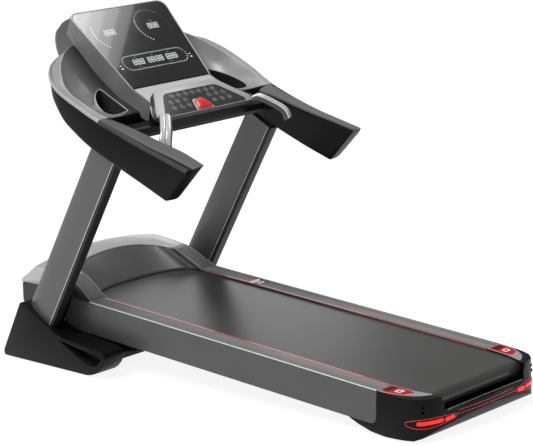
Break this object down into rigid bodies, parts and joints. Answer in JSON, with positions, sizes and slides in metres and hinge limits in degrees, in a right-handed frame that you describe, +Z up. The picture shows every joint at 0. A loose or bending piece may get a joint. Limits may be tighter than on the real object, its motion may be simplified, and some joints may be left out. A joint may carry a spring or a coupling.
{
  "type": "motorised treadmill",
  "caption": "Motorised treadmill with a tilting flat running deck, leaning uprights on floor shoes, and a console between sweeping handrail arms.",
  "frame": {"origin": "on the floor, at the middle of the machine's length and width", "axes": "+Y towards the console and the motor cover, +X to the user's right, +Z up"},
  "size_m": [0.936, 2.01, 1.3163],
  "materials": {
    "frame_steel": "satin black paint",
    "bright_steel": "machined",
    "heat_sink": "plain",
    "upright_paint": "satin metallic grey",
    "side_panel_paint": "satin dark grey",
    "foot_rail_aluminium": "grooved, matt anodised",
    "label_plate_grey": "satin",
    "black_plastic": "fine moulded texture",
    "keypad_film": "printed membrane",
    "dark_grey_plastic": "satin moulded",
    "grip_foam": "soft, matt",
    "console_grey": "satin moulded",
    "arm_top_grey": "satin painted",
    "hood_silver": "satin silver paint",
    "panel_silver": "brushed",
    "grip_steel": "polished",
    "screen_glass": "gloss black",
    "circuit_board": "coated board",
    "red_plastic": "gloss",
    "rubber": "matt",
    "belt_black": "fine woven texture",
    "deck_board": "waxed board"
  },
  "bodies": {
    "floor_frame": {"base_frame": "frame_steel", "console_crossbar": "frame_steel", "console_lower": "black_plastic", "console_back": "dark_grey_plastic", "console_frame": "console_grey", "screen_trim": "panel_silver", "screen_glass": "screen_glass", "display_board": "circuit_board", "control_panel": "panel_silver", "keypad": "keypad_film", "left_upright": "upright_paint", "right_upright": "upright_paint", "left_upright_trim": "black_plastic", "right_upright_trim": "black_plastic", "left_shoe": "black_plastic", "right_shoe": "black_plastic", "left_floor_pad": "rubber", "right_floor_pad": "rubber", "left_arm_shell": "black_plastic", "right_arm_shell": "black_plastic", "left_grip_pad": "grip_foam", "right_grip_pad": "grip_foam", "left_arm_top": "arm_top_grey", "right_arm_top": "arm_top_grey", "left_cup_holder": "dark_grey_plastic", "right_cup_holder": "dark_grey_plastic", "left_pulse_grip": "grip_steel", "right_pulse_grip": "grip_steel"},
    "deck": {"running_frame": "frame_steel", "running_board": "deck_board", "running_belt": "belt_black", "rear_axle": "bright_steel", "drive_motor": "frame_steel", "drive_belt": "rubber", "motor_controller": "heat_sink", "lift_actuator": "frame_steel", "motor_tray": "dark_grey_plastic", "motor_hood": "hood_silver", "hood_fascia": "dark_grey_plastic", "rear_cover": "black_plastic", "power_inlet": "black_plastic", "left_side_panel": "side_panel_paint", "right_side_panel": "side_panel_paint", "left_foot_rail": "foot_rail_aluminium", "right_foot_rail": "foot_rail_aluminium", "left_label_plate": "label_plate_grey", "right_label_plate": "label_plate_grey", "left_tail_light": "red_plastic", "right_tail_light": "red_plastic", "left_rear_foot": "rubber", "right_rear_foot": "rubber"},
    "front_roller": {"front_roller": "bright_steel"},
    "rear_roller": {"rear_roller": "bright_steel"},
    "motor_rotor": {"motor_rotor": "bright_steel"},
    "lift_ram": {"lift_ram": "bright_steel"},
    "safety_key": {"safety_key": "red_plastic"},
    "power_switch": {"power_switch": "black_plastic"},
    "left_wheel": {"left_transport_wheel": "rubber"},
    "right_wheel": {"right_transport_wheel": "rubber"}
  },
  "joints": [
    {"name": "deck_incline", "type": "hinge", "parent": "floor_frame", "child": "deck", "pos_m": [0, -0.897, 0], "axis": [1, 0, 0], "range_deg": [0, 5]},
    {"name": "lift_ram_slide", "type": "slide", "parent": "deck", "child": "lift_ram", "axis": [0, -0.0175, -0.9998], "range_m": [0, 0.158]},
    {"name": "front_roller_spin", "type": "hinge", "parent": "deck", "child": "front_roller", "pos_m": [0, 0.71369, 0.21806], "axis": [1, 0, 0], "continuous": true},
    {"name": "rear_roller_spin", "type": "hinge", "parent": "deck", "child": "rear_roller", "pos_m": [0, -0.92624, 0.11776], "axis": [1, 0, 0], "continuous": true},
    {"name": "motor_rotor_spin", "type": "hinge", "parent": "deck", "child": "motor_rotor", "pos_m": [0, 0.89279, 0.23833], "axis": [1, 0, 0], "continuous": true},
    {"name": "safety_key_pull", "type": "slide", "parent": "floor_frame", "child": "safety_key", "axis": [0, -0.4226, 0.9063], "range_m": [0, 0.025]},
    {"name": "power_switch_rock", "type": "hinge", "parent": "deck", "child": "power_switch", "pos_m": [0.271, 0.98227, 0.21676], "axis": [1, 0, 0], "range_deg": [0, 12]},
    {"name": "left_wheel_spin", "type": "hinge", "parent": "floor_frame", "child": "left_wheel", "pos_m": [-0.4, 0.948, 0.028], "axis": [1, 0, 0], "continuous": true},
    {"name": "right_wheel_spin", "type": "hinge", "parent": "floor_frame", "child": "right_wheel", "pos_m": [0.4, 0.948, 0.028], "axis": [1, 0, 0], "continuous": true}
  ],
  "couplings": [
    {"joint": "lift_ram_slide", "follows": "deck_incline", "m_per_rad": 1.801},
    {"joint": "rear_roller_spin", "follows": "front_roller_spin", "ratio": 1},
    {"joint": "motor_rotor_spin", "follows": "front_roller_spin", "ratio": 1.8}
  ]
}
